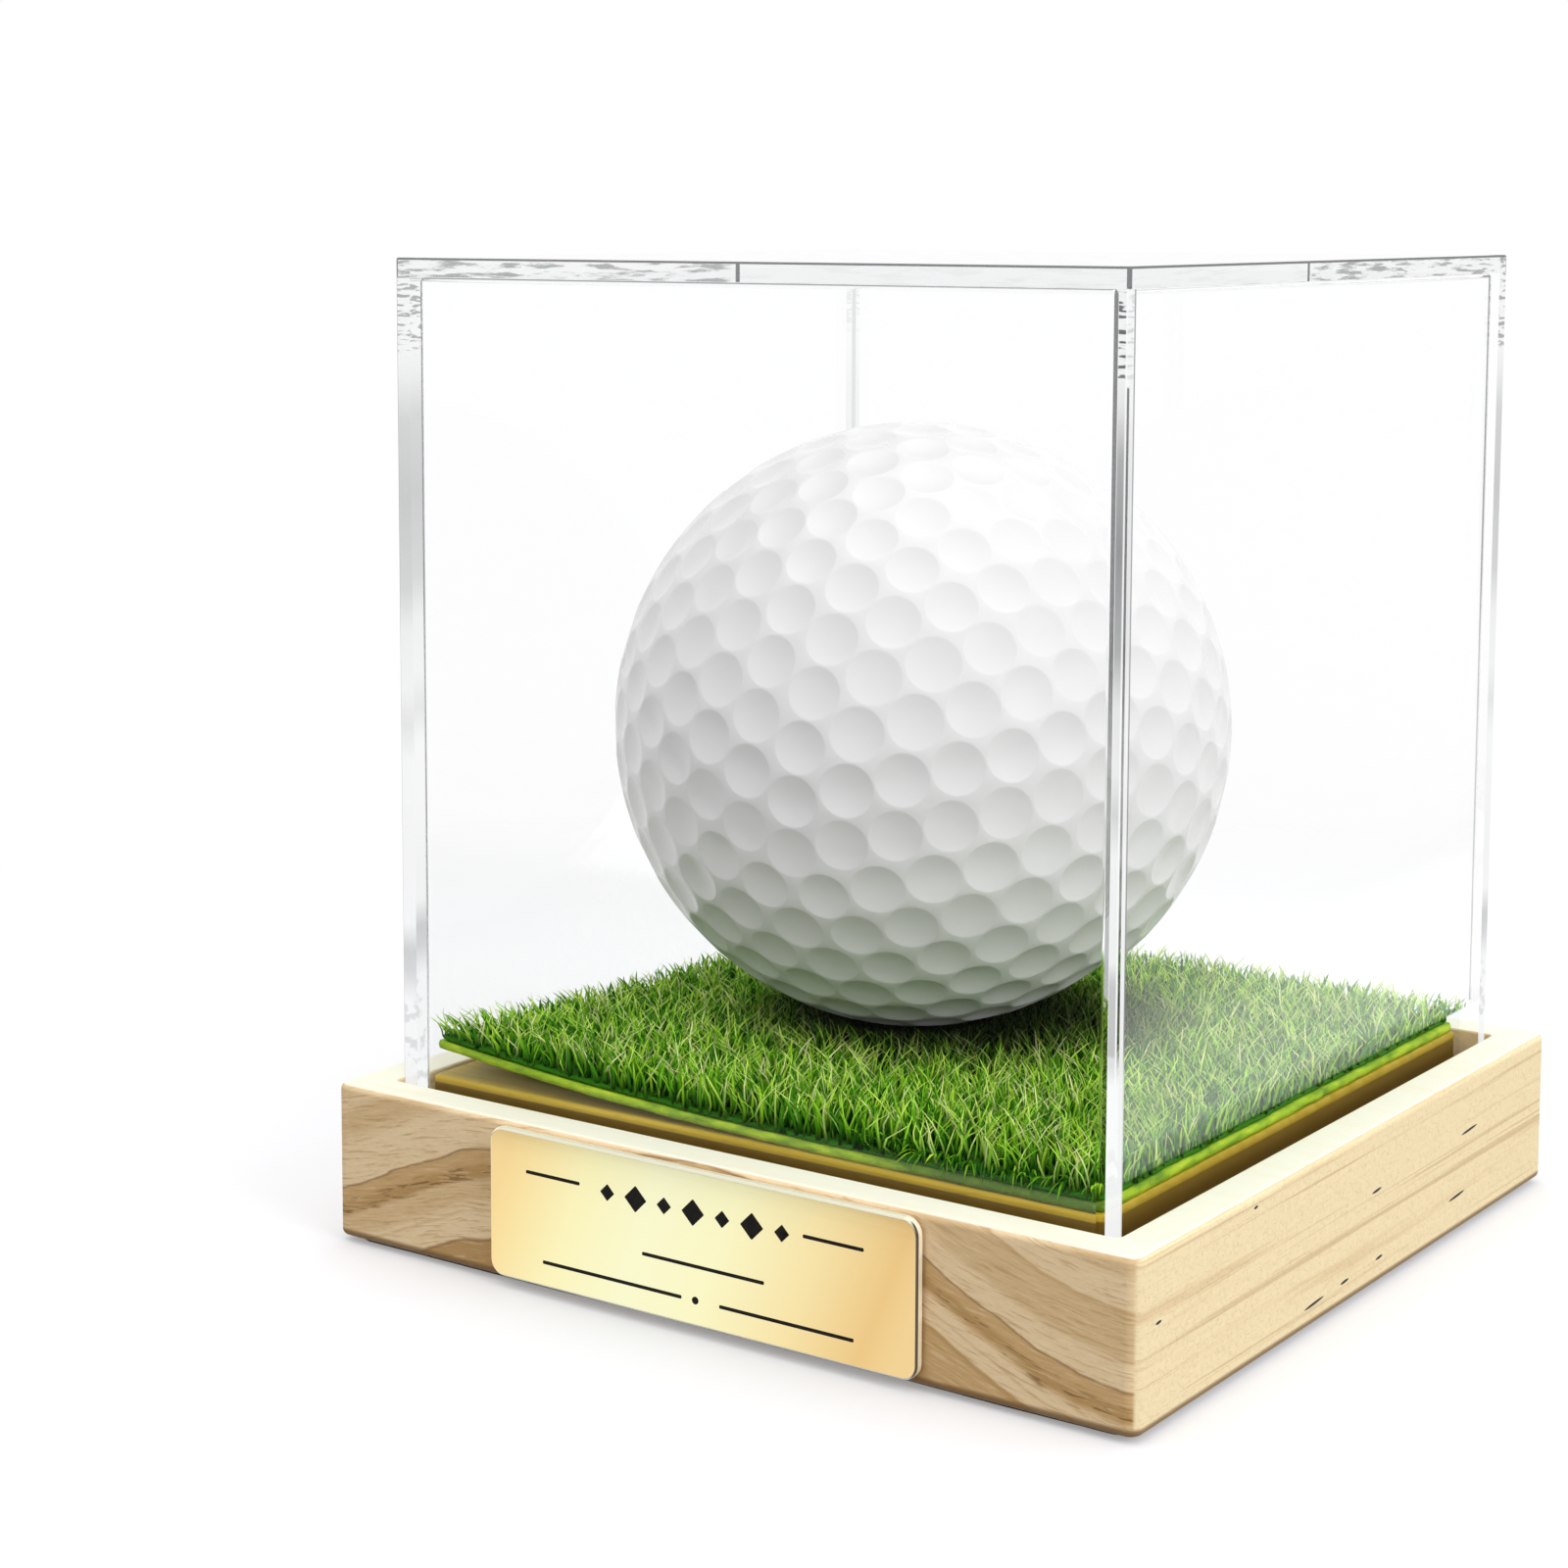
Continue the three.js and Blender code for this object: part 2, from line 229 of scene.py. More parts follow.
class Finish:
    """The nodes of one material, or of the world"""

    def __init__(self, owner):
        owner.use_nodes = True
        self.owner = owner
        self.tree = owner.node_tree
        self.tree.nodes.clear()

    def node(self, kind, inputs=None, output=0, **settings):
        made = self.tree.nodes.new("ShaderNode" + kind)
        for name, value in settings.items():
            if name == "stops":
                self.set_stops(made.color_ramp, value)
            else:
                setattr(made, name, value)
        for name, value in (inputs or {}).items():
            socket = made.inputs[name]
            if isinstance(value, Socket):
                self.tree.links.new(value.output, socket)
            elif socket.type == "RGBA":
                socket.default_value = (*value, 1.0)
            else:
                socket.default_value = value
        return Socket(self, made.outputs[output] if made.outputs else None)

    def set_stops(self, ramp, stops):
        while len(ramp.elements) < len(stops):
            ramp.elements.new(0.5)
        for element, (position, colour) in zip(ramp.elements, stops):
            element.position = position
            element.color = (*colour, 1.0)

    def ramp(self, value, stops):
        return self.node("ValToRGB", {0: value}, stops=stops)

    def mix(self, factor, first, second, blend="MIX"):
        inputs = {0: factor, 6: first, 7: second}
        return self.node("Mix", inputs, 2, data_type="RGBA", blend_type=blend)

    def rise(self, value, low, high):
        inputs = {0: value, 1: low, 2: high}
        return self.node("MapRange", inputs, interpolation_type="SMOOTHSTEP")

    def past(self, value, limit, soft):
        """0 at a limit and 1 a soft step away from it, on the side that the step's sign gives"""
        return self.rise(value, limit, limit + soft)

    def larger(self, first, second):
        return self.node("Math", {0: first, 1: second}, operation="MAXIMUM")

    def smaller(self, first, second):
        return self.node("Math", {0: first, 1: second}, operation="MINIMUM")

    def scaled(self, vector, shares):
        return self.node("VectorMath", {0: vector, 1: shares}, operation="MULTIPLY")

    def millimetres(self):
        place = self.node("TexCoord", output="Object")
        return self.scaled(place, (1000, 1000, 1000))

    def parts(self, vector):
        split = self.node("SeparateXYZ", {0: vector})
        outputs = split.output.node.outputs
        return [Socket(self, outputs[i]) for i in range(3)]

    def normal_parts(self):
        return self.parts(self.node("NewGeometry", output="Normal"))

    def places(self):
        return self.parts(self.millimetres())

    def noise(self, per_mm, detail=3.0, roughness=0.5, place=None):
        place = self.scaled(place or self.millimetres(), per_mm)
        inputs = {"Vector": place, "Scale": 1.0, "Detail": detail, "Roughness": roughness}
        return self.node("TexNoise", inputs)

    def bump(self, height, distance, strength=1.0):
        inputs = {"Height": height, "Distance": distance, "Strength": strength}
        return self.node("Bump", inputs)

    def ray(self, name):
        return self.node("LightPath", output=name)

    def glow(self, colour, strength=1.0):
        return self.node("Emission", {"Color": colour, "Strength": strength})

    def blend(self, factor, first, second):
        return self.node("MixShader", {0: factor, 1: first, 2: second})

    def show(self, shader):
        self.node("OutputMaterial", {"Surface": shader})
        return self.owner

    def surface(self, colour, roughness, others=None):
        inputs = {"Base Color": colour, "Roughness": roughness, **(others or {})}
        return self.show(self.node("BsdfPrincipled", inputs))


def finish_named(name):
    return Finish(bpy.data.materials.new(name))


# Wood

pale_wood = (0.93, 0.70, 0.42)
mid_wood = (0.78, 0.55, 0.29)
brown_wood = (0.67, 0.43, 0.19)
dark_wood = (0.53, 0.315, 0.115)
border_wood = (0.32, 0.17, 0.06)
grain_line_wood = (0.22, 0.11, 0.03)
side_wood = (1.0, 0.825, 0.51)
side_wood_streak = (0.84, 0.62, 0.35)
side_line_wood = (0.58, 0.38, 0.17)
lip_painted_highlight = (0.96, 0.95, 0.79)
lip_painted_highlight_streak = (0.95, 0.90, 0.69)
pore_wood = (0.012, 0.008, 0.005)
pore_brown_and_side_shade = (0.28, 0.17, 0.02)
painted_gap_shadow = (0.12, 0.065, 0.010)

# How far the growth rings fall below their arch's top, in mm, at places across the front
arch_falls = [
    (-31.5, 7.7), (-30.0, 7.1), (-25.0, 4.9), (-20.0, 2.8), (-10.0, 0.9), (0.0, 0.1), (9.0, 0.9),
    (16.4, 2.6), (20.0, 4.6), (25.0, 7.0), (27.6, 7.8), (31.5, 8.3),
]
arch_half = 31.5
arch_fall_most = 9.0

# Heights in mm at which the rings change colour, counted at the arch's top
left_ring_stops = [
    (0.0, dark_wood), (1.8, brown_wood), (3.0, dark_wood), (5.0, dark_wood), (5.15, border_wood),
    (5.35, pale_wood), (6.9, pale_wood), (7.1, mid_wood), (7.3, pale_wood), (7.9, mid_wood),
    (9.2, mid_wood), (9.6, dark_wood), (10.2, dark_wood), (10.5, brown_wood),
    (11.3, brown_wood), (11.42, border_wood), (11.55, pale_wood), (14.2, pale_wood),
    (15.2, mid_wood), (16.4, mid_wood), (17.0, pale_wood), (19.0, mid_wood),
]
right_ring_stops = [
    (0.0, brown_wood), (3.4, dark_wood), (4.4, brown_wood), (6.9, brown_wood), (7.3, dark_wood),
    (7.5, pale_wood), (8.3, pale_wood), (8.45, mid_wood), (8.6, pale_wood), (9.2, pale_wood),
    (9.6, brown_wood), (9.8, dark_wood), (10.2, dark_wood), (10.6, brown_wood),
    (11.3, brown_wood), (11.42, border_wood), (11.55, pale_wood), (12.9, pale_wood),
    (13.5, mid_wood), (16.0, mid_wood), (16.35, brown_wood), (16.5, pale_wood),
    (18.0, pale_wood), (19.0, mid_wood),
]
ring_top = 20.0

# Pores on the right face: place along it, height and half length, in mm
side_pores = [
    (17.4, 7.3, 1.5), (1.8, 6.9, 0.8), (15.4, 3.0, 1.5), (-16.3, 10.5, 0.3), (2.4, 2.15, 0.6),
    (-3.0, 2.0, 0.7), (-7.6, 1.85, 1.6), (-28.9, 6.85, 0.4),
]
pore_half_width = 0.11

# Height in mm up to which the block's bottom edge is painted dark, a painted shade along its foot
foot_painted_shade_top = 1.1


def finish_block_wood():
    wood = finish_named("block_wood")
    x, y, z = wood.places()
    normal_x, _, normal_z = wood.normal_parts()
    aside = wood.rise(abs(normal_x), 0.55, 0.8)
    above = wood.rise(normal_z, 0.72, 0.92)

    # Flat-sawn face: rings in long arches, each sharp on one side
    wander = wood.noise((0.11, 0.11, 0.3), detail=2.0)
    ripple = wood.noise((0.5, 0.5, 1.6))
    arch_stops = [
        (0.5 + across / (2 * arch_half), (fall / arch_fall_most,) * 3)
        for across, fall in arch_falls
    ]
    fall = arch_fall_most * wood.ramp(x / (2 * arch_half) + 0.5, arch_stops)
    ring = z + fall + 0.8 * (wander - 0.5) + 0.3 * (ripple - 0.5)
    halves = []
    for ring_stops in (left_ring_stops, right_ring_stops):
        stops = [(height / ring_top, colour) for height, colour in ring_stops]
        halves.append(wood.ramp(ring / ring_top, stops))
    arches = wood.mix(wood.rise(x, 4.0, 12.0), *halves)
    flow = z + 0.55 * fall + 1.2 * (wander - 0.5)
    fibre_place = wood.node("CombineXYZ", {0: x * 0.42, 1: y * 0.42, 2: flow * 5.5})
    fibre = wood.noise((1, 1, 1), detail=5.0, roughness=0.6, place=fibre_place)
    open_place = wood.node("CombineXYZ", {0: x * 0.55, 1: y * 0.55, 2: flow * 4.5})
    open_grain = wood.noise((1, 1, 1), place=open_place)
    core = wood.rise(abs(ring - 9.9), 0.9, 0.2) + 0.6 * wood.rise(ring, 4.4, 3.4)
    speckle = wood.noise((1.6, 1.6, 3.2), detail=5.0, roughness=0.65)
    front = wood.mix(wood.rise(fibre, 0.52, 0.66) * 0.55, arches, dark_wood)
    front = wood.mix(wood.rise(speckle, 0.55, 0.75) * 0.35, front, brown_wood)
    front = wood.mix(wood.rise(fibre, 0.46, 0.34) * 0.3, front, side_wood)
    front = wood.mix(wood.rise(open_grain, 0.55, 0.63) * core * 0.8, front, grain_line_wood)

    # Quarter-sawn face: straight streaks, fine curls and a few open pores
    streak = wood.noise((0.02, 0.022, 0.75), detail=4.0, roughness=0.6)
    curl = wood.noise((1.5, 1.5, 2.0), detail=2.0)
    crinkle = wood.rise(abs(curl - 0.5), 0.030, 0.0)
    lines = wood.noise((0.014, 0.014, 1.7), detail=4.0, roughness=0.65)
    side = wood.mix(wood.rise(streak, 0.52, 0.70) * 0.9, side_wood, side_wood_streak)
    side = wood.mix(wood.rise(curl, 0.45, 0.75) * 0.12, side, side_wood_streak)
    side = wood.mix(crinkle * 0.3, side, side_line_wood)
    side = wood.mix(wood.rise(lines, 0.54, 0.64) * 0.5, side, side_line_wood)
    for along, height, half_length in side_pores:
        off_along = (y - along) / half_length
        off_height = (z - height - 0.05 * (y - along)) / pore_half_width
        pore = wood.rise(off_along * off_along + off_height * off_height, 1.0, 0.6)
        side = wood.mix(pore, side, pore_wood)

    # Top of the lip: grain streaks on a near-white colour, partly a painted highlight of the
    # strong light from above
    lip_grain = wood.noise((0.12, 0.9, 0.4), detail=4.0)
    lip = wood.mix(wood.rise(lip_grain, 0.45, 0.75) * 0.7, lip_painted_highlight, lip_painted_highlight_streak)

    colour = wood.mix(aside, front, side)
    # Painted shade: the block's bottom edge is painted dark
    foot_painted_shade = wood.past(z, foot_painted_shade_top, -0.3)
    colour = wood.mix(foot_painted_shade * 0.85, colour, grain_line_wood)
    colour = wood.mix(above, colour, lip)
    relief = wood.bump(fibre * 0.6 + speckle * 0.4 + curl, 0.05 * mm, 0.7)
    return wood.surface(colour, 0.55 + 0.2 * fibre, {"Normal": relief})


def finish_board_wood(lip_top, board_top):
    board = finish_named("board_wood")
    _, _, z = board.places()
    normal_x, _, _ = board.normal_parts()
    # Painted shadow: below the lip's top, in the gap beside the lip, the board is painted dark
    proud = board_top - lip_top
    gap_shadow_mask = board.rise(z, lip_top + 0.1 * proud, lip_top - 0.3 * proud)
    grain = board.noise((0.05, 0.9, 0.9), detail=4.0, roughness=0.6)
    pore = board.noise((0.8, 5.0, 5.0))
    colour = board.ramp(grain, [
        (0.30, (0.62, 0.44, 0.055)), (0.50, (0.52, 0.36, 0.03)), (0.72, (0.38, 0.25, 0.015)),
    ])
    colour = board.mix(board.rise(pore, 0.58, 0.75) * 0.4, colour, pore_brown_and_side_shade)
    # Painted shade: faces turned to the right are painted darker
    colour = board.mix(board.rise(normal_x, 0.4, 0.8) * 0.5, colour, pore_brown_and_side_shade)
    colour = board.mix(gap_shadow_mask * 0.9, colour, painted_gap_shadow)
    others = {"Specular IOR Level": 0.08, "Normal": board.bump(grain, 0.03 * mm, 0.3)}
    return board.surface(colour, 0.36 + 0.12 * grain, others)


# Felt, tape, turf and ball

def finish_felt():
    felt = finish_named("dark_felt")
    fuzz = felt.noise((4, 4, 4), detail=5.0, roughness=0.7)
    colour = felt.ramp(fuzz, [(0.3, (0.010, 0.008, 0.007)), (0.7, (0.032, 0.026, 0.022))])
    return felt.surface(colour, 0.9 + 0.1 * fuzz, {"Normal": felt.bump(fuzz, 0.1 * mm)})


def finish_tape():
    tape = finish_named("mounting_tape")
    crease = tape.noise((0.6, 0.6, 0.6))
    colour = tape.ramp(crease, [(0.35, (0.62, 0.60, 0.49)), (0.65, (0.72, 0.70, 0.60))])
    return tape.surface(colour, 0.55 + 0.2 * crease)


def finish_backing():
    backing = finish_named("turf_backing")
    x, y, _ = backing.places()
    patch = backing.noise((0.5, 0.5, 1.5), detail=4.0)
    weave = backing.noise((5, 5, 5), detail=2.0)
    colour = backing.ramp(patch, [
        (0.32, (0.14, 0.30, 0.006)), (0.52, (0.34, 0.54, 0.010)), (0.70, (0.54, 0.70, 0.03)),
    ])

    # Blades darken its front edge towards the right
    fuzzed = backing.rise(x, 8.0, 16.0) * backing.rise(y, -25.5, -26.0) * (0.6 + 0.4 * weave)
    colour = backing.mix(fuzzed, colour, (0.045, 0.130, 0.004))
    relief = backing.bump(weave, 0.08 * mm, 0.8)
    return backing.surface(colour, 0.55 + 0.2 * weave, {"Normal": relief})


def finish_turf():
    turf = finish_named("turf_pile")
    tone, along, kind = turf.parts(turf.node("Attribute", None, 1, attribute_name="blade"))
    blade = turf.ramp(tone, [
        (0.0, (0.035, 0.190, 0.005)), (0.35, (0.090, 0.360, 0.008)),
        (0.7, (0.240, 0.590, 0.016)), (1.0, (0.600, 0.930, 0.060)),
    ])
    strand = turf.ramp(tone, [
        (0.0, (0.42, 0.92, 0.05)), (0.5, (0.76, 1.0, 0.18)), (1.0, (0.98, 1.0, 0.52)),
    ])
    colour = turf.mix(kind, blade, strand)
    # Painted shade between the blades: each blade is painted darker towards its root
    painted_root_shade = turf.ramp(along, [
        (0.0, (0.06, 0.13, 0.03)), (0.35, (0.50, 0.70, 0.40)), (0.65, white),
    ])
    colour = turf.mix(1.0, colour, painted_root_shade, "MULTIPLY")
    patch = turf.noise((0.16, 0.16, 0.16), detail=2.0)
    colour = turf.mix(turf.rise(patch, 0.45, 0.7) * 0.25, colour, (0.03, 0.12, 0.01))
    # Painted shadow: the turf is painted dark round the ball's foot
    x, y, _ = turf.places()
    from_foot = x * x + y * y
    painted_ball_shadow = turf.rise(from_foot, painted_shadow_reach ** 2, painted_shadow_core ** 2)
    colour = turf.mix(painted_ball_shadow * 0.95, colour, (0.003, 0.008, 0.002))
    return turf.surface(colour, 0.5 + 0.2 * tone, {"Specular IOR Level": 0.12})


def finish_ball():
    ball = finish_named("ball_cover")
    cloud = ball.noise((0.1, 0.1, 0.1), detail=2.0)
    grain = ball.noise((3, 3, 3))
    colour = ball.ramp(cloud, [(0.35, (0.825, 0.828, 0.818)), (0.65, (0.845, 0.848, 0.842))])
    relief = ball.bump(grain, 0.004 * mm, 0.5)
    return ball.surface(colour, 0.2 + 0.08 * grain, {"Normal": relief})


# How dark the cover's corners are painted at heights in mm, from 0 for clear to 1 for dark:
# painted reflections
corner_painted_shade_stops = [
    (0.0, 0.04), (17.0, 0.05), (19.2, 0.36), (20.6, 0.40), (22.5, 0.08), (34.0, 0.05),
    (36.5, 0.20), (39.0, 0.08), (43.0, 0.12), (46.0, 0.34), (52.0, 0.42), (57.5, 0.34),
    (60.5, 0.12), (62.5, 0.05), (68.6, 0.05),
]

# Heights in mm at which the cover's edges, with their painted reflections and painted glow,
# change
corner_band_low = 61.5
dark_line_low = 38
low_core_high = 28.5
plain_foot_high = 23
low_core_low = 21.6
corner_foot_high = 19
corner_wave_high = 17.5
clear_foot_high = 14.3

# Widths of the thin painted dark lines, and how far parts of the near corner's painted glow and
# shade are set in, in mm
outer_line_width = 0.14
top_line_width = 0.17
inner_line_width = 0.28
near_corner_inset = 0.55
border_inset = 0.08
border_half = 0.12
core_inset = 0.47
core_half = 0.28
edge_soft = 0.03
line_soft = 0.04

# Where a corner starts across the case, as a share of half its width, and over which share
corner_start = 1.7
corner_soft = 0.1

# Painted dark ticks across the lid's rim, painted reflections, at places in mm along the front
# and along the right side
front_tick = 0.45
right_tick = -4.6
tick_half = 0.2
tick_soft = 0.08

# The lid's rim has few painted reflection streaks at its near and far corners, where x + y in mm
# is within these
plain_rim_middle = -2.1
plain_rim_half = 25.9


def finish_acrylic(outer_half, underside, top):
    """Clear inside its faces. Its edges, placed in mm, carry painted reflections, grey streaks
    and thin dark lines, and a painted glow
    """
    acrylic = finish_named("clear_acrylic")
    past = acrylic.past
    larger = acrylic.larger
    x, y, z = acrylic.places()
    normal_x, _, normal_z = acrylic.normal_parts()
    facing_front = past(abs(normal_x), 0.6, -0.4)
    inner_half = outer_half - acrylic_thickness / mm
    least = acrylic.smaller(abs(x), abs(y))
    most = larger(abs(x), abs(y))

    # Where the corners are. The front right one, nearest the camera, has a painted glow above a
    # plain foot
    near = past(x - y, corner_start * outer_half, corner_soft * outer_half)
    far = past(y - x, corner_start * outer_half, corner_soft * outer_half)
    corner = past(least, inner_half, edge_soft) * (1 - near)
    near_inner = inner_half + near_corner_inset
    below_rim = past(z, underside, -edge_soft)
    nearest = past(least, near_inner, edge_soft) * near * below_rim
    plain_foot = near * past(z, plain_foot_high, -3)
    near_painted_border = past(abs(least - near_inner - border_inset), border_half, -0.05) * near
    near_painted_border = near_painted_border * (1 - 0.75 * plain_foot)

    # Where the lid's rim, the thin painted dark lines and the clear band at the right panel's
    # foot are
    rim = past(z, underside, edge_soft) * past(abs(normal_z), 0.6, -0.2)
    dashed = near * past(z, corner_band_low, 0.3) * below_rim
    outer_line = past(least, outer_half - outer_line_width, edge_soft)
    outer_line = outer_line * (1 - dashed) * (1 - plain_foot)
    top_line = past(z, top - top_line_width, line_soft)
    top_line = top_line * past(most, outer_half - top_line_width, line_soft)
    inner_line = past(least, inner_half - inner_line_width, line_soft)
    inner_line = inner_line * past(most, inner_half + 0.05, -edge_soft)
    line = larger(larger(outer_line, top_line), inner_line)
    foot_band = past(z, clear_foot_high, -0.2) * past(x, inner_half - 0.06, edge_soft)
    edge = larger(larger(corner, rim), larger(line, foot_band))

    # How dark their painted reflections are
    highest = corner_painted_shade_stops[-1][0]
    stops = [(height / highest, (dark,) * 3) for height, dark in corner_painted_shade_stops]
    painted_bands = acrylic.noise((0.5, 0.5, 3.4), detail=2.0)
    painted_bands = acrylic.rise(painted_bands, 0.50, 0.58) * past(z, corner_band_low, 1)
    painted_waves = acrylic.noise((0.7, 0.7, 1.1), detail=2.0)
    painted_waves = acrylic.rise(painted_waves, 0.50, 0.62) * past(z, corner_wave_high, -1)
    corner_painted_shade = acrylic.ramp(z / highest, stops) + 0.55 * painted_bands + 0.22 * painted_waves
    painted_streaks = acrylic.noise((0.28, 0.28, 3.0), detail=5.0, roughness=0.6)
    plain_rim = past(abs(x + y - plain_rim_middle), plain_rim_half + 0.5, -0.5)
    rim_painted_shade = 0.05 + 0.55 * acrylic.rise(painted_streaks, 0.49, 0.60) * (1 - 0.9 * plain_rim)
    painted_ticks = past(abs(x - front_tick), tick_half, -tick_soft) * past(y, 0, -1)
    painted_ticks = painted_ticks + past(abs(y - right_tick), tick_half, -tick_soft) * past(x, 0, 1)
    painted_ticks = painted_ticks + past(least, outer_half - 0.25, 0.05)
    shade = larger(corner * corner_painted_shade, rim * larger(rim_painted_shade, 0.85 * painted_ticks))
    line_painted_shade = line * (0.55 + 0.3 * past(z, dark_line_low, 8))
    shade = larger(shade, line_painted_shade) * (1 - 0.75 * far)

    # How dark the near corner's painted glow is: a painted dark core down its front, and a
    # painted dark border beside it
    core = past(abs(least - outer_half + core_inset), core_half, -0.08)
    near_painted_shade = corner_painted_shade * (facing_front * (0.15 + 1.75 * core) + 0.5 * (1 - facing_front))
    low_core = core * past(z, low_core_low, 0.6) * past(z, low_core_high, -2.5)
    near_painted_shade = larger(near_painted_shade * (1 - plain_foot), 0.5 * low_core * facing_front)
    near_painted_shade = larger(near_painted_shade, 0.75 * near_painted_border * (1 - facing_front))
    painted_glow_shade = acrylic.node("Mix", {0: near, 2: corner_painted_shade, 3: near_painted_shade})

    # What passes an edge goes straight on. Trapped rays, the near corner and the corners' feet
    # show a painted glow as white as the room, and lamps and soft light reach the ball
    passed = acrylic.rise(acrylic.ray("Transparent Depth"), 0.4, 0.6)
    trapped = past(acrylic.ray("Glossy Depth"), trapped_bounces, 1)
    unseen = larger(acrylic.ray("Is Shadow Ray"), acrylic.ray("Is Diffuse Ray"))
    foot = 0.85 * corner * past(z, corner_foot_high, -3)
    painted_glow_edge = larger(0.9 * nearest, foot) * (1 - line) * (1 - passed)
    clear = acrylic.node("BsdfPrincipled", {
        "Base Color": (0.995, 0.998, 0.998),
        "Roughness": 0.0,
        "IOR": acrylic_ior,
        "Transmission Weight": 1.0,
    })
    pale_way = acrylic.node("BsdfTransparent", {"Color": (0.98, 0.985, 0.985)})
    painted_dark_way = acrylic.node("BsdfTransparent", {"Color": (0.07, 0.075, 0.08)})
    open_air = acrylic.node("BsdfTransparent", {"Color": (0.98, 0.98, 0.98)})
    # Light passing an edge takes its painted reflections as a dark or pale tint
    way = acrylic.blend(shade * (1 - passed), pale_way, painted_dark_way)
    painted_pale_glow = acrylic.glow((0.97, 0.98, 0.98))
    glow = acrylic.blend(painted_glow_shade, painted_pale_glow, acrylic.glow((0.10, 0.105, 0.11)))
    look = acrylic.blend(larger(edge * 0.94, passed), clear, way)
    look = acrylic.blend(larger(trapped, painted_glow_edge), look, glow)
    acrylic.owner.cycles.emission_sampling = "NONE"
    return acrylic.show(acrylic.blend(unseen, look, open_air))


# Painted reflection: colours along the plaque, as shares of its width from the left, which lean
# with height
painted_reflection_stops = [
    (0.00, (0.97, 0.72, 0.33)), (0.06, (0.99, 0.78, 0.37)), (0.20, (1.0, 0.93, 0.52)),
    (0.38, (0.99, 0.98, 0.64)), (0.56, (1.0, 0.96, 0.58)), (0.76, (0.97, 0.80, 0.41)),
    (0.93, (0.88, 0.60, 0.25)), (1.00, (0.92, 0.67, 0.31)),
]
reflection_lean_per_mm = 0.012
bevel_painted_highlight = (1.0, 0.96, 0.76)
bevel_painted_dark = (0.10, 0.07, 0.035)


def finish_brass(width):
    brass = finish_named("plaque_brass")
    x, _, z = brass.places()
    normal_x, normal_y, _ = brass.normal_parts()
    brushing = brass.noise((0.1, 1.0, 9.0), detail=2.0)
    # The plate's colour is a painted reflection that brightens across its middle
    share = x / (width / mm) + 0.5 - reflection_lean_per_mm * (z - 6.0)
    painted_reflection = brass.ramp(share, painted_reflection_stops)
    face = brass.rise(abs(normal_y), 0.85, 0.97)
    # Bevels are painted cream, a painted highlight; the right-facing bevel is painted dark, a
    # painted dark reflection
    dark_right_bevel = brass.rise(normal_x, 0.3, 0.6) * brass.rise(abs(normal_y), 0.3, 0.5)
    edge = brass.mix(dark_right_bevel, bevel_painted_highlight, bevel_painted_dark)
    colour = brass.mix(face, edge, painted_reflection)
    return brass.surface(colour, 0.12 + 0.05 * brushing, {"Metallic": 0.25 + 0.7 * face})


def finish_enamel():
    enamel = finish_named("black_enamel")
    mottle = enamel.noise((2, 2, 2))
    colour = enamel.ramp(mottle, [(0.3, (0.006, 0.005, 0.004)), (0.7, (0.018, 0.015, 0.012))])
    return enamel.surface(colour, 0.5 + 0.2 * mottle, {"Specular IOR Level": 0.12})


# Making pieces

def add_object(name, data):
    added = bpy.data.objects.new(name, data)
    bpy.context.scene.collection.objects.link(added)
    return added


def add_piece(mesh, material, body):
    """A piece that has its mesh's name and rides one of the frame's bodies"""
    mesh.materials.append(material)
    mesh.polygons.foreach_set("use_smooth", [True] * len(mesh.polygons))
    mesh.update()
    piece = add_object(mesh.name, mesh)
    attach(piece, body)
    return piece


def weigh_normals(piece):
    """Broad faces shade flat and their eased edges round"""
    weighted = piece.modifiers.new("flat_faces", "WEIGHTED_NORMAL")
    weighted.weight = 100
    weighted.keep_sharp = True


def arc(offset, height, radius, start, end, steps=edge_steps):
    """Offsets and heights along part of a circle, from one angle to another in degrees"""
    angles = [math.radians(start + (end - start) * i / steps) for i in range(steps + 1)]
    return [(offset + radius * math.cos(a), height + radius * math.sin(a)) for a in angles]


class Outline:
    """A rectangle with rounded corners that can be set in or out"""

    def __init__(self, half_x, half_y, corner):
        self.half_x = half_x
        self.half_y = half_y
        self.corner = corner

    def ring(self, offset, height):
        corner = max(self.corner + offset, 0.02 * mm)
        x = self.half_x + offset - corner
        y = self.half_y + offset - corner
        points = []
        for centre_x, centre_y, start in ((x, -y, -90), (x, y, 0), (-x, y, 90), (-x, -y, 180)):
            for across, up in arc(centre_x, centre_y, corner, start, start + 90, corner_steps):
                points.append((across, up, height))
        return points

    def rings(self, stations):
        return [self.ring(offset, height) for offset, height in stations]


def skin(name, points, faces):
    mesh = bpy.data.meshes.new(name)
    mesh.from_pydata(points, [], faces)
    mesh.update()
    return mesh


def stack(name, rings):
    """Skins a stack of rings and closes both its ends"""
    around = len(rings[0])
    points = [point for ring in rings for point in ring]
    faces = [tuple(reversed(range(around)))]
    for level in range(len(rings) - 1):
        low = level * around
        for i in range(around):
            j = (i + 1) % around
            faces.append((low + i, low + j, low + around + j, low + around + i))
    faces.append(tuple(range(len(points) - around, len(points))))
    return skin(name, points, faces)


def eased_sides(low, high, ease):
    return arc(-ease, low + ease, ease, -90, 0) + arc(-ease, high - ease, ease, 0, 90)


# Wooden base

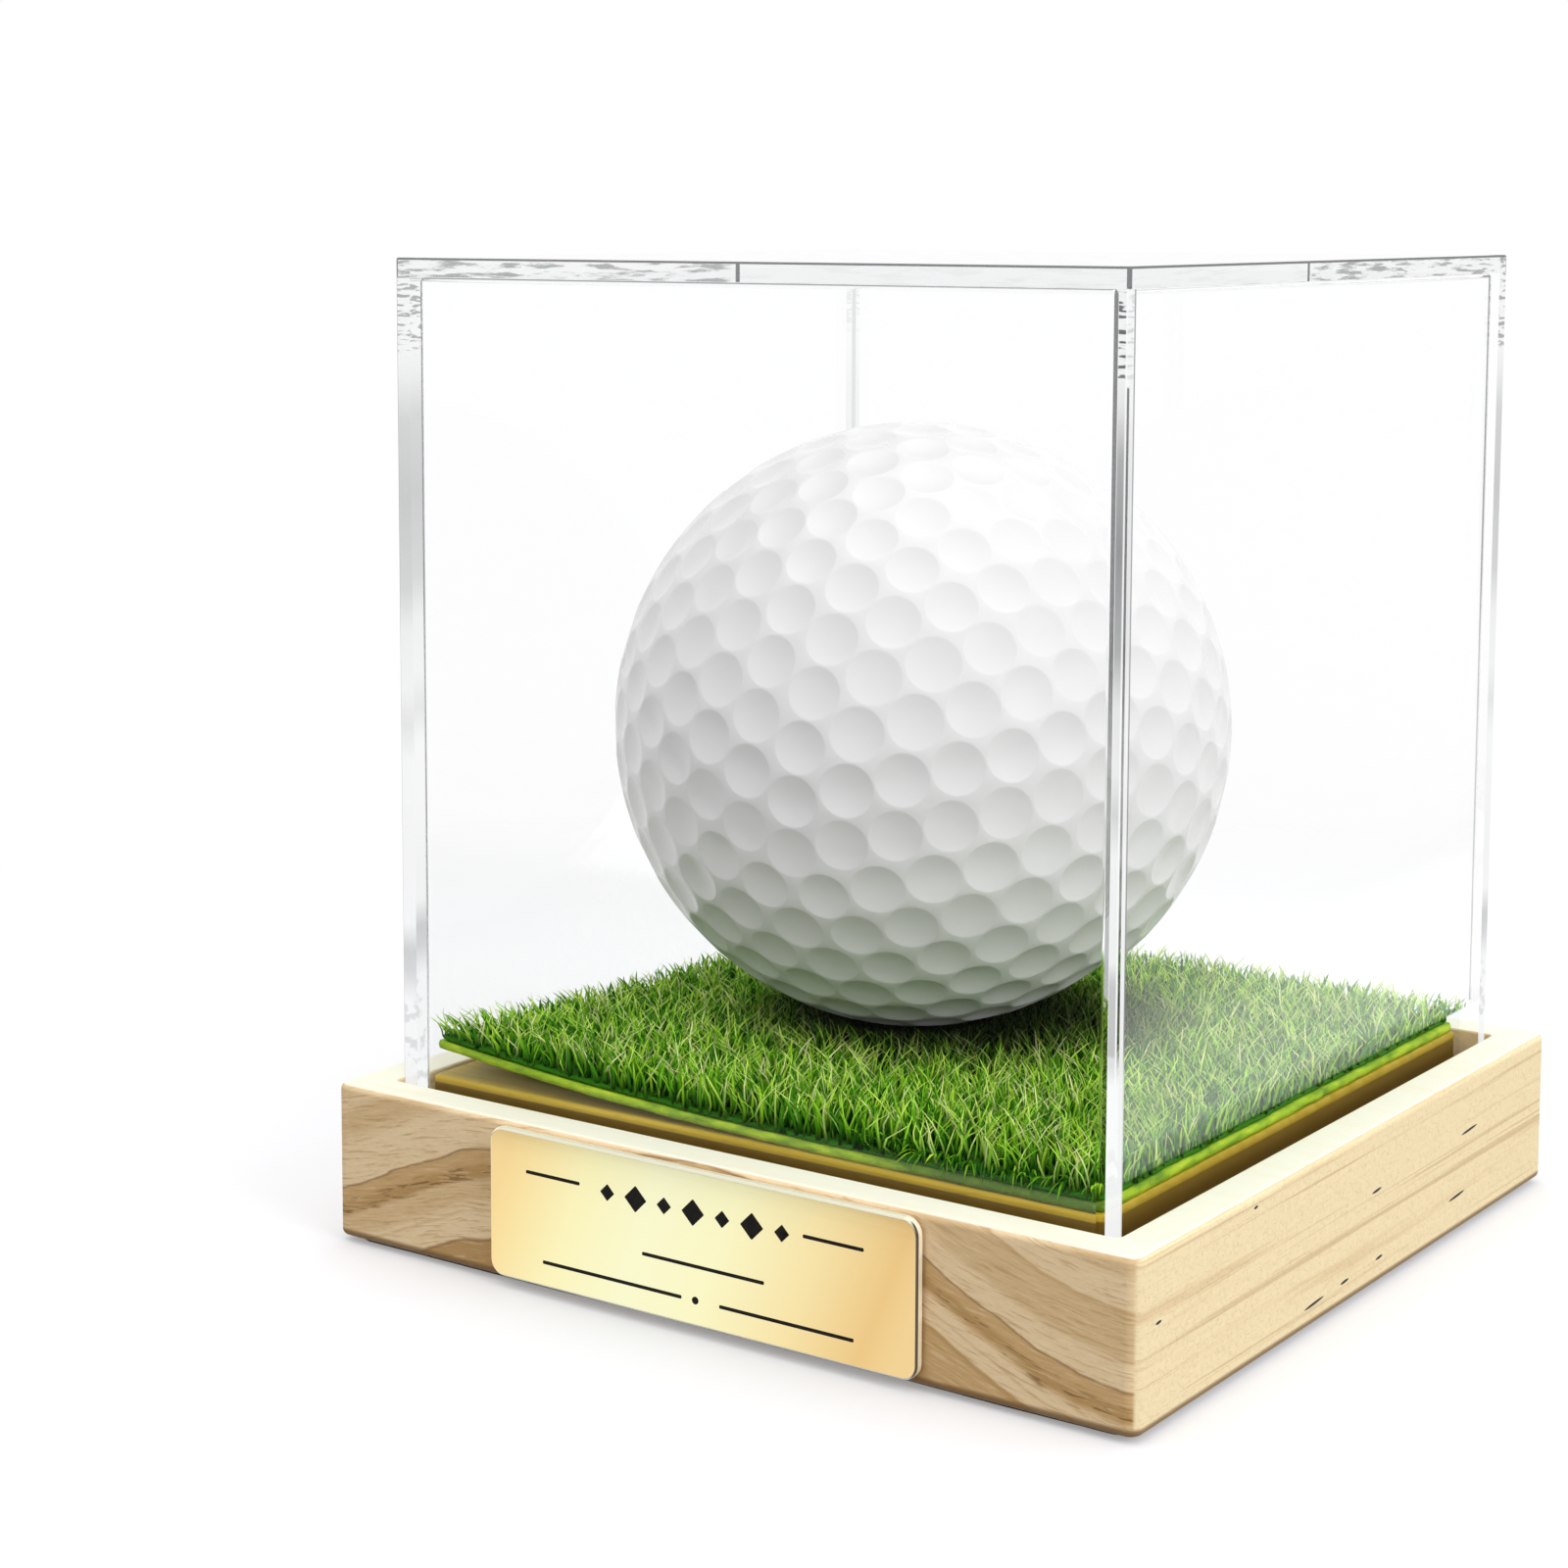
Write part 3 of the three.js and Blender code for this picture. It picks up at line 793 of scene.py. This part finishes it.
def mill_block():
    low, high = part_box("base_block")
    cover_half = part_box("cover_front")[1].x
    pocket_half = cover_half + groove_clearance
    pocket_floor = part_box("plinth_board")[0].z
    outside = Outline(high.x, high.y, block_corner_round)
    pocket = Outline(pocket_half, pocket_half, pocket_corner_round)
    rings = outside.rings(eased_sides(low.z, high.z, block_edge_round))
    rings += pocket.rings(
        arc(lip_inner_round, high.z - lip_inner_round, lip_inner_round, 90, 180)
        + arc(-pocket_fillet, pocket_floor + pocket_fillet, pocket_fillet, 0, -90))
    mesh = stack("milled_block", rings)
    block = add_piece(mesh, finish_block_wood(), "base")
    weigh_normals(block)
    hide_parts("base_block")


def varnish_board():
    low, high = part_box("plinth_board")
    outline = Outline(high.x, high.y, board_corner_round)
    rings = outline.rings(eased_sides(low.z, high.z, board_edge_round))
    finish = finish_board_wood(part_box("base_block")[1].z / mm, high.z / mm)
    board = add_piece(stack("varnished_board", rings), finish, "base")
    weigh_normals(board)
    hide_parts("plinth_board")


# Turf mat

def curl_at(x, y, half):
    from_tip = (x + y + 2 * half) / math.sqrt(2)
    share = np.clip(1 - from_tip / curl_reach, 0, 1)
    from_middle = np.maximum(np.abs(x), np.abs(y)) / half
    beyond_tape = np.clip((from_middle - sag_start) / (1 - sag_start), 0, 1)
    return curl_height * share ** 2 - edge_sag * (beyond_tape * (1 - share)) ** 2


def trimmed_sheet(name, half, low, thickness, corner_round, curled, random, cells=sheet_cells):
    """A cut sheet: a fine grid above and below, with a slightly ragged, rounded edge"""
    shares = np.linspace(-1, 1, cells + 1)
    place = np.stack([grid.ravel() for grid in np.meshgrid(shares * half, shares * half)], 1)
    excess = np.maximum(np.abs(place) - (half - corner_round), 0)
    beyond = np.linalg.norm(excess, axis=1, keepdims=True)
    pull = np.minimum(corner_round / np.maximum(beyond, 1e-9), 1)
    place = np.sign(place) * (np.abs(place) - excess * (1 - pull))

    # The cut is rough all along, wanders a little, and stays inside the flat size
    last = cells + 1
    edge = np.concatenate((
        np.arange(cells), np.arange(cells) * last + cells,
        last * last - 1 - np.arange(cells), (cells - np.arange(cells)) * last,
    ))
    rough = random.normal(0, 1, len(edge))
    rough = (rough + np.roll(rough, 1) + np.roll(rough, 2) + np.roll(rough, -1)) / 4
    wave = np.convolve(np.tile(random.normal(0, 1, len(edge)), 3), np.ones(25) / 25, "same")
    wave = wave[len(edge):2 * len(edge)] * 3
    trim = sheet_raggedness * (0.6 * rough + 0.7 * wave - 0.8)
    outward = place[edge] / np.linalg.norm(place[edge], axis=1, keepdims=True)
    lift = curl_at(*place.T, half) * curled

    def level(share, grow):
        moved = place.copy()
        moved[edge] += outward * (trim + grow)[:, None]
        return np.column_stack((moved, low + thickness * share + lift))

    bottom = level(0, -0.25 * sheet_raggedness)
    top = level(1, -0.5 * sheet_raggedness)
    middle = level(0.5, 0.5 * sheet_raggedness)[edge]
    points = np.concatenate((bottom, top, middle))
    count = last * last
    corner = np.arange(cells * last).reshape(cells, last)[:, :-1].ravel()
    grid = np.stack((corner, corner + 1, corner + last + 1, corner + last), 1)
    after = np.roll(edge, -1)
    ring = 2 * count + np.arange(len(edge))
    ring_after = np.roll(ring, -1)
    faces = np.concatenate((
        grid[:, ::-1], grid + count,
        np.stack((edge, after, ring_after, ring), 1),
        np.stack((ring, ring_after, after + count, edge + count), 1),
    ))
    return skin(name, points.tolist(), faces.tolist())


def lay_backing(random):
    low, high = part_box("turf_backing")
    half = high.x
    mesh = trimmed_sheet(
        "backing_sheet", half, low.z, backing_thickness, mat_corner_round, True, random)
    backing = add_piece(mesh, finish_backing(), "base")
    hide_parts("turf_backing")


def lay_felt(random):
    low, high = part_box("base_felt")
    half = high.x
    mesh = trimmed_sheet(
        "felt_sheet", half, low.z, high.z - low.z, felt_corner_round, False, random, felt_cells)
    felt = add_piece(mesh, finish_felt(), "base")
    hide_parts("base_felt")


def tint_points(mesh, colours):
    """Tells the turf's finish each point's tone, height along the blade and kind"""
    attribute = mesh.attributes.new("blade", "FLOAT_COLOR", "POINT")
    attribute.data.foreach_set("color", np.asarray(colours, np.float32).ravel())


def headings(angle):
    return np.stack((np.cos(angle), np.sin(angle)), 1)


def gather_tufts(random, root, lean, tone, half):
    """Blades stand in tufts and fan out of them. Gives their tones, each near its tuft's own"""
    tufts = int(2 * half / tuft_spacing) + 2
    shift = random.uniform(-tuft_jitter, tuft_jitter, (tufts, tufts, 2))
    tuft_tone = random.uniform(-tuft_tone_range, tuft_tone_range, (tufts, tufts))
    index = ((root + half) / tuft_spacing).astype(int)
    column, row = index.T
    middle = (index + 0.5 + shift[column, row]) * tuft_spacing - half
    inwards = (middle - root) * tuft_pull
    inwards *= np.clip((half - np.abs(root)) / tuft_edge, 0, 1)
    root += inwards
    lean += (root - middle) * tuft_spread
    return np.clip(tone + tuft_tone[column, row], 0, 1)


def stalk_faces(count, corners):
    """Skins every stalk alike: its three sides level by level, its pointed tip and its foot"""
    tip = corners - 1
    one = [
        (low + side, low + (side + 1) % 3, low + 3 + (side + 1) % 3, low + 3 + side)
        for low in range(0, tip - 3, 3) for side in range(3)
    ]
    one += [(tip - 3 + side, tip - 3 + (side + 1) % 3, tip) for side in range(3)]
    one.append((2, 1, 0))
    first = np.arange(count)[:, None] * corners
    return [face for shape in one for face in (first + np.array(shape)).tolist()]


def plant_turf(random, ball_middle, ball_radius):
    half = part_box("turf_backing")[1].x
    pile_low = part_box("turf_pile_back_right")[0].z
    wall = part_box("cover_front")[1].x - acrylic_thickness - wall_clearance

    across = int(2 * half / blade_spacing)
    cell = 2 * (half - blade_inset) / across
    steps = (np.arange(across) + 0.5) * cell - half + blade_inset
    x, y = [grid.ravel() for grid in np.meshgrid(steps, steps)]
    count = len(x)
    x = x + random.uniform(-root_jitter, root_jitter, count) * cell
    y = y + random.uniform(-root_jitter, root_jitter, count) * cell
    tone = random.random(count)
    strand = random.random(count) < strand_share
    width = np.where(strand, strand_width, blade_width) * random.uniform(*width_spread, count)
    height = np.where(strand, strand_height, blade_height) * random.uniform(*height_spread, count)
    height *= 1 - np.maximum(
        left_short * np.clip(-x / half, 0, 1) ** 2, back_short * np.clip(y / half, 0, 1) ** 2)
    angle = random.uniform(0, 2 * math.pi, count)
    reach_share = np.where(strand, strand_reach_share, blade_reach_share)
    reach = height * reach_share * random.uniform(*reach_spread, count)
    lean = headings(angle) * reach[:, None]
    root = np.stack((x, y), 1)
    tone = gather_tufts(random, root, lean, tone, half)
    x, y = root.T

    # Blades lean outwards at the mat's edge and curled tip, and away from the ball's foot
    edge_share = np.clip((np.abs(root) / half - edge_start) / (1 - edge_start), 0, 1)
    lean += np.where(root > 0, right_back_lean, -left_front_lean) * edge_share
    tip_share = np.clip(1 - (x + y + 2 * half) / math.sqrt(2) / tip_reach, 0, 1)
    lean -= tip_share[:, None] * tip_lean
    from_ball = root - ball_middle[:2]
    distance = np.linalg.norm(from_ball, axis=1)
    near = np.clip(1 - distance / foot_reach, 0, 1)
    lean += from_ball / distance[:, None] * near[:, None] * foot_lean
    tip = np.clip(root + lean, -wall, wall)
    lean = tip - root

    # Along the front edge, towards its right end, blades hang over the backing
    over_edge = np.clip((-root[:, 1] / half - fringe_row) / fringe_row_soft, 0, 1)
    towards_corner = np.clip((x - fringe_start) / fringe_soft, 0, 1)
    hang = over_edge * towards_corner * random.uniform(*hang_spread, count) * ~strand
    lean[:, 1] -= hang * (tip[:, 1] + half + fringe_out)

    # Blades under the ball end below it
    sway = np.where(strand, strand_sway, blade_sway) * random.normal(0, 1, count)
    base = pile_low + pile_base_thickness + curl_at(x, y, half)
    tip_distance = np.linalg.norm(tip - ball_middle[:2], axis=1)
    closest = np.maximum(np.minimum(distance, tip_distance) - width - np.abs(sway), 0)
    below = np.sqrt(np.maximum(ball_radius ** 2 - closest ** 2, 0))
    room = ball_middle[2] - below - ball_clearance - base
    height = np.where(closest < ball_radius, np.minimum(height, room), height)
    height = np.maximum(height, blade_least_height)

    # Each blade is a thin three-sided stalk that bends as it rises
    turn = random.uniform(0, 2 * math.pi, count)
    swing = random.uniform(*swing_spread, count)
    arch = np.where(strand, strand_arch, blade_arch)
    aside = headings(angle + math.pi / 2)

    def spine(share):
        sideways = sway * np.sin(math.pi * share * swing)
        across = root + lean * share ** lean_power + aside * sideways[:, None]
        up = base + height * share * (1 + arch - arch * share)
        up = up - hang * (height + fringe_drop) * share ** 2
        return across, up

    corners = 3 * len(stalk_level_shares) + 1
    points = np.zeros((count, corners, 3))
    colours = np.ones((count, corners, 4), np.float32)
    colours[:, :, 0] = tone[:, None]
    colours[:, :, 2] = strand[:, None]
    for level, (share, wide) in enumerate(zip(stalk_level_shares, stalk_width_shares)):
        across, up = spine(share)
        for side in range(3):
            out = width / 2 * wide * (1.0 if side else stalk_back_share)
            index = level * 3 + side
            facing = headings(turn + side * 2 * math.pi / 3)
            points[:, index, :2] = across + facing * out[:, None]
            points[:, index, 2] = up if level else up - root_sink
            colours[:, index, 1] = share
    points[:, -1, :2], points[:, -1, 2] = spine(1.0)
    points[:, :, :2] = np.clip(points[:, :, :2], -wall, wall)
    mesh = skin("turf_blades", points.reshape(-1, 3).tolist(), stalk_faces(count, corners))
    tint_points(mesh, colours)
    finish = finish_turf()
    turf = add_piece(mesh, finish, "base")
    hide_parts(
        "turf_pile_front_left", "turf_pile_front_right", "turf_pile_back_left",
        "turf_pile_back_right")

    mesh = trimmed_sheet(
        "turf_thatch", half - thatch_inset, pile_low + thatch_lift, pile_base_thickness,
        mat_corner_round, True, random)
    tint_points(mesh, np.tile(thatch_tint, (len(mesh.vertices), 1)))
    add_piece(mesh, finish, "base")


# Ball

def ball_measures():
    """Middle and radius of the ball, and the directions of its dimples, from the frame"""
    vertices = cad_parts["golf_ball"].data.vertices
    points = np.unique(np.round([tuple(vertex.co) for vertex in vertices], 7), axis=0)
    middle = (points.min(0) + points.max(0)) / 2
    reach = np.linalg.norm(points - middle, axis=1)
    split = (reach.min() + reach.max()) / 2
    outer = points[reach > split]
    rows = np.column_stack((2 * outer, np.ones(len(outer))))
    solved = np.linalg.lstsq(rows, (outer ** 2).sum(1), rcond=None)[0]
    middle = solved[:3]
    radius = math.sqrt(solved[3] + middle @ middle)
    inner = points[np.linalg.norm(points - middle, axis=1) < radius - dimple_depth / 2] - middle
    directions = inner / np.linalg.norm(inner, axis=1)[:, None]
    return middle, radius, directions


def dimple_fall(distance, rim):
    """How far the surface lies under the ball's sphere at a distance from a dimple's middle"""
    cap = dimple_depth * (1 - (distance / rim) ** 2)
    return (cap + math.hypot(cap, dimple_softness)) / 2


def press_ball(middle, radius, directions):
    apart = np.arccos(np.clip(directions @ directions.T, -1, 1))
    np.fill_diagonal(apart, math.pi)
    nearest = apart.min(1)
    body = bmesh.new()
    rings = []
    for direction, gap in zip(directions, nearest):
        rim = min(dimple_diameter / 2, neighbour_share * gap * radius / dimple_ring_shares[0])
        facing = Vector(direction)
        across = facing.orthogonal().normalized()
        upward = facing.cross(across)
        land = radius + dimple_fall(rim * dimple_ring_shares[0], rim)
        own = []
        for share in dimple_ring_shares:
            angle = rim * share / radius
            reach = land - dimple_fall(rim * share, rim)
            ring = []
            for side in range(dimple_sides):
                turn = 2 * math.pi * side / dimple_sides
                outward = across * math.cos(turn) + upward * math.sin(turn)
                spot = facing * math.cos(angle) + outward * math.sin(angle)
                ring.append(spot * reach)
            own.append(ring)
        rings.append((own, facing * (land - dimple_fall(0, rim))))

    # Land between the dimples: the hull of their rims, less the discs inside them
    owner = {}
    rims = []
    for index, (own, _) in enumerate(rings):
        rim_vertices = [body.verts.new(point) for point in own[0]]
        for vertex in rim_vertices:
            owner[vertex] = index
        rims.append(rim_vertices)
    bmesh.ops.convex_hull(body, input=list(body.verts), use_existing_faces=False)
    discs = [face for face in body.faces if len({owner[vertex] for vertex in face.verts}) == 1]
    bmesh.ops.delete(body, geom=discs, context="FACES_KEEP_BOUNDARY")
    for (own, bottom), rim_vertices in zip(rings, rims):
        outer = rim_vertices
        for ring in own[1:]:
            inner = [body.verts.new(point) for point in ring]
            for side in range(dimple_sides):
                after = (side + 1) % dimple_sides
                body.faces.new((outer[side], outer[after], inner[after], inner[side]))
            outer = inner
        bottom_vertex = body.verts.new(bottom)
        for side in range(dimple_sides):
            body.faces.new((outer[side], outer[(side + 1) % dimple_sides], bottom_vertex))
    bmesh.ops.recalc_face_normals(body, faces=list(body.faces))
    bmesh.ops.translate(body, verts=list(body.verts), vec=Vector(middle))
    mesh = bpy.data.meshes.new("dimpled_ball")
    body.to_mesh(mesh)
    body.free()
    ball = add_piece(mesh, finish_ball(), "ball")
    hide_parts("golf_ball")


# Clear cover

def bond_cover():
    top_low, top_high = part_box("cover_top")
    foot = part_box("cover_front")[0].z
    outer_half = top_high.x
    inner_half = outer_half - acrylic_thickness
    inside = Outline(inner_half, inner_half, cover_inner_round)
    outside = Outline(outer_half, outer_half, cover_outer_round)
    fillet = cover_inner_fillet
    ease = cover_outer_ease
    small = cover_foot_ease
    rings = inside.rings(
        arc(-fillet, top_low.z - fillet, fillet, 90, 0) + [(0, foot + small), (small, foot)])
    rings += outside.rings(
        [(-small, foot), (0, foot + small)] + arc(-ease, top_high.z - ease, ease, 0, 90))
    acrylic = finish_acrylic(outer_half / mm, top_low.z / mm, top_high.z / mm)
    cover = add_piece(stack("cover_shell", rings), acrylic, "cover")
    weigh_normals(cover)
    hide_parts("cover_top", "cover_front", "cover_back", "cover_left", "cover_right")


# Plaque

def stand_up(mesh, face_y, middle_z):
    """Turns a flat piece so that its top faces out of the block's front"""
    mesh.transform(Matrix.Rotation(math.pi / 2, 4, "X"))
    mesh.transform(Matrix.Translation((0, face_y, middle_z)))


def stamp_plaque():
    low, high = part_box("plaque")
    middle_z = (low.z + high.z) / 2
    outline = Outline(high.x, (high.z - low.z) / 2, plaque_corner_round)
    thickness = high.y - low.y
    bevel = plaque_bevel
    ease = plaque_bevel_ease
    stations = arc(-plaque_back_round, plaque_back_round, plaque_back_round, -90, 0, 2)
    stations += [(0, thickness - bevel - ease), (-ease * bevel_ease_share, thickness - bevel)]
    stations += [(-bevel, thickness - ease * bevel_ease_share), (-bevel - ease, thickness)]
    mesh = stack("brass_plate", outline.rings(stations))
    stand_up(mesh, high.y, middle_z)
    plate = add_piece(mesh, finish_brass(2 * high.x), "base")
    weigh_normals(plate)
    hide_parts("plaque")
    return low.y, middle_z


# Enamelled marks: middle of each from the plaque's middle, and its length or size, in mm
ruled_lines = [
    (-11.45, 2.5, 4.5), (10.75, 2.5, 4.5), (0.75, -1.15, 9.6), (-6.6, -3.4, 11.4),
    (7.2, -3.4, 10.2),
]
line_corner_share = 0.6
lozenge_pitch = 2.3
lozenge_sizes = [0.8, 1.25, 0.8, 1.25, 0.8, 1.25, 0.8]
lozenge_row_up = 2.35
lozenge_corner_share = 0.1
stud_size = 0.5
stud_place = (0.2, -3.4)


def enamel_plaque(face_y, middle_z):
    """Plain ruled lines, a row of lozenges and a stud, a little proud of the plate"""
    enamel = finish_enamel()
    face = enamel_sunk + enamel_proud
    stations = [(0, 0), (0, face - enamel_ease), (-enamel_ease, face)]

    def add_mark(name, outline, across, up, turn=0):
        mesh = stack(name, outline.rings(stations))
        mesh.transform(Matrix.Rotation(math.radians(turn), 4, "Z"))
        mesh.transform(Matrix.Translation((across * mm, up * mm, -enamel_sunk)))
        stand_up(mesh, face_y, middle_z)
        weigh_normals(add_piece(mesh, enamel, "base"))

    half_width = enamel_line_width / 2
    for index, (across, up, length) in enumerate(ruled_lines, 1):
        outline = Outline(length / 2 * mm, half_width, half_width * line_corner_share)
        add_mark(f"ruled_line_{index}", outline, across, up)
    for index, size in enumerate(lozenge_sizes, 1):
        across = (index - (len(lozenge_sizes) + 1) / 2) * lozenge_pitch
        half = size / 2 * mm
        outline = Outline(half, half, half * lozenge_corner_share)
        add_mark(f"lozenge_{index}", outline, across, lozenge_row_up, 45)
    radius = stud_size / 2 * mm
    add_mark("stud", Outline(radius, radius, radius), *stud_place)


# Studio

def set_camera():
    data = bpy.data.cameras.new("camera")
    data.lens = camera_lens
    data.clip_start = 0.01
    data.shift_x = (photo_side / 2 - photo_middle_x) / photo_side
    data.shift_y = (photo_middle_y - photo_side / 2) / photo_side
    camera = add_object("camera", data)
    camera.location = camera_place
    camera.rotation_euler = (math.radians(90 - camera_tilt_down), 0, math.radians(camera_turn))
    bpy.context.scene.camera = camera


def light_world():
    world = bpy.data.worlds.new("studio_air")
    bpy.context.scene.world = world
    air = Finish(world)
    _, _, up = air.parts(air.node("TexCoord", output="Generated"))
    mirrored = air.larger(air.ray("Is Glossy Ray"), air.ray("Is Transmission Ray"))
    backdrop = air.ramp(up * 0.5 + 0.5, [
        (0.70, white), (0.78, (0.30, 0.31, 0.32)), (0.90, (0.32, 0.33, 0.34)),
        (0.96, (0.95, 0.96, 0.97)), (1.0, white),
    ])
    soft_light = air.ramp(up, [(0.0, (1.02, 1.02, 1.025)), (1.0, (1.14, 1.14, 1.145))])
    colour = air.mix(mirrored, soft_light, backdrop)
    colour = air.mix(air.ray("Is Camera Ray"), colour, white)
    air.node("OutputWorld", {"Surface": air.node("Background", {"Color": colour})})


def lay_floor():
    """A sheet of white paper. Places on it are in metres from the case's middle"""
    corners = [(-3, -3, 0), (3, -3, 0), (3, 3, 0), (-3, 3, 0)]
    floor = add_object("floor", skin("floor", corners, [(0, 1, 2, 3)]))
    paper = finish_named("white_paper")
    place = paper.node("TexCoord", output="Object")
    x, y, _ = paper.parts(place)
    distance = paper.node("VectorMath", {0: place}, "Value", operation="LENGTH")
    shown = paper.larger(paper.ray("Is Camera Ray"), paper.ray("Is Transmission Ray"))
    mirrored = paper.rise(paper.ray("Glossy Depth"), 0.4, 0.6)
    sharp = mirrored * paper.ray("Is Singular Ray")
    plain = paper.glow(white)

    # Seen straight on or through the cover: white paper that keeps the soft shadow
    shaded = paper.node("BsdfDiffuse", {"Color": (0.72, 0.722, 0.74)})
    near = paper.node("AddShader", {0: shaded, 1: paper.glow(white, 0.24)})
    seen = paper.blend(paper.rise(distance, 0.05, 0.15), near, plain)

    # Mirrored: a dark patch painted in front of the case, and a bright glowing patch to its right
    # that sharp reflections see; both are painted reflections
    painted_dark_reflection = paper.rise(y, -0.150, -0.120) * paper.rise(y, -0.060, -0.065)
    painted_bright_reflection = paper.rise(x, 0.051, 0.0525) * paper.rise(x, 0.080, 0.062) * sharp
    reflected = paper.blend(painted_dark_reflection, plain, paper.glow((0.03, 0.03, 0.03)))
    reflected = paper.blend(painted_bright_reflection, reflected, paper.glow((0.96, 1.0, 0.95), 1.8))

    # What lights the case from below is dark
    dim = paper.node("BsdfDiffuse", {"Color": (0.09, 0.09, 0.09)})
    look = paper.blend(mirrored, paper.blend(shown, dim, seen), reflected)
    floor.data.materials.append(paper.show(look))


def hang_lamp():
    """A square lamp aimed at the ball. At level 1, white paper facing it is white"""
    data = bpy.data.lights.new("key_lamp", "AREA")
    data.shape = "SQUARE"
    data.size = lamp_size
    data.energy = lamp_level * math.pi ** 2 * lamp_distance ** 2
    lamp = add_object("key_lamp", data)
    lamp.location = lamp_aim + lamp_direction.normalized() * lamp_distance
    lamp.rotation_euler = (lamp_aim - lamp.location).to_track_quat("-Z", "Y").to_euler()
    lamp.visible_glossy = False
    lamp.visible_transmission = False
    lamp.visible_camera = False


set_camera()
random = np.random.default_rng(turf_seed)
mill_block()
lay_felt(random)
varnish_board()
lay_backing(random)
ball_middle, ball_radius, dimple_directions = ball_measures()
plant_turf(random, ball_middle, ball_radius)
press_ball(ball_middle, ball_radius, dimple_directions)
bond_cover()
plaque_face, plaque_middle = stamp_plaque()
enamel_plaque(plaque_face, plaque_middle)

tape = finish_tape()
for node in ("turf_tape", "plaque_tape"):
    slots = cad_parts[node].data.materials
    slots.clear()
    slots.append(tape)

light_world()
lay_floor()
hang_lamp()
bpy.context.scene.view_settings.view_transform = "Standard"
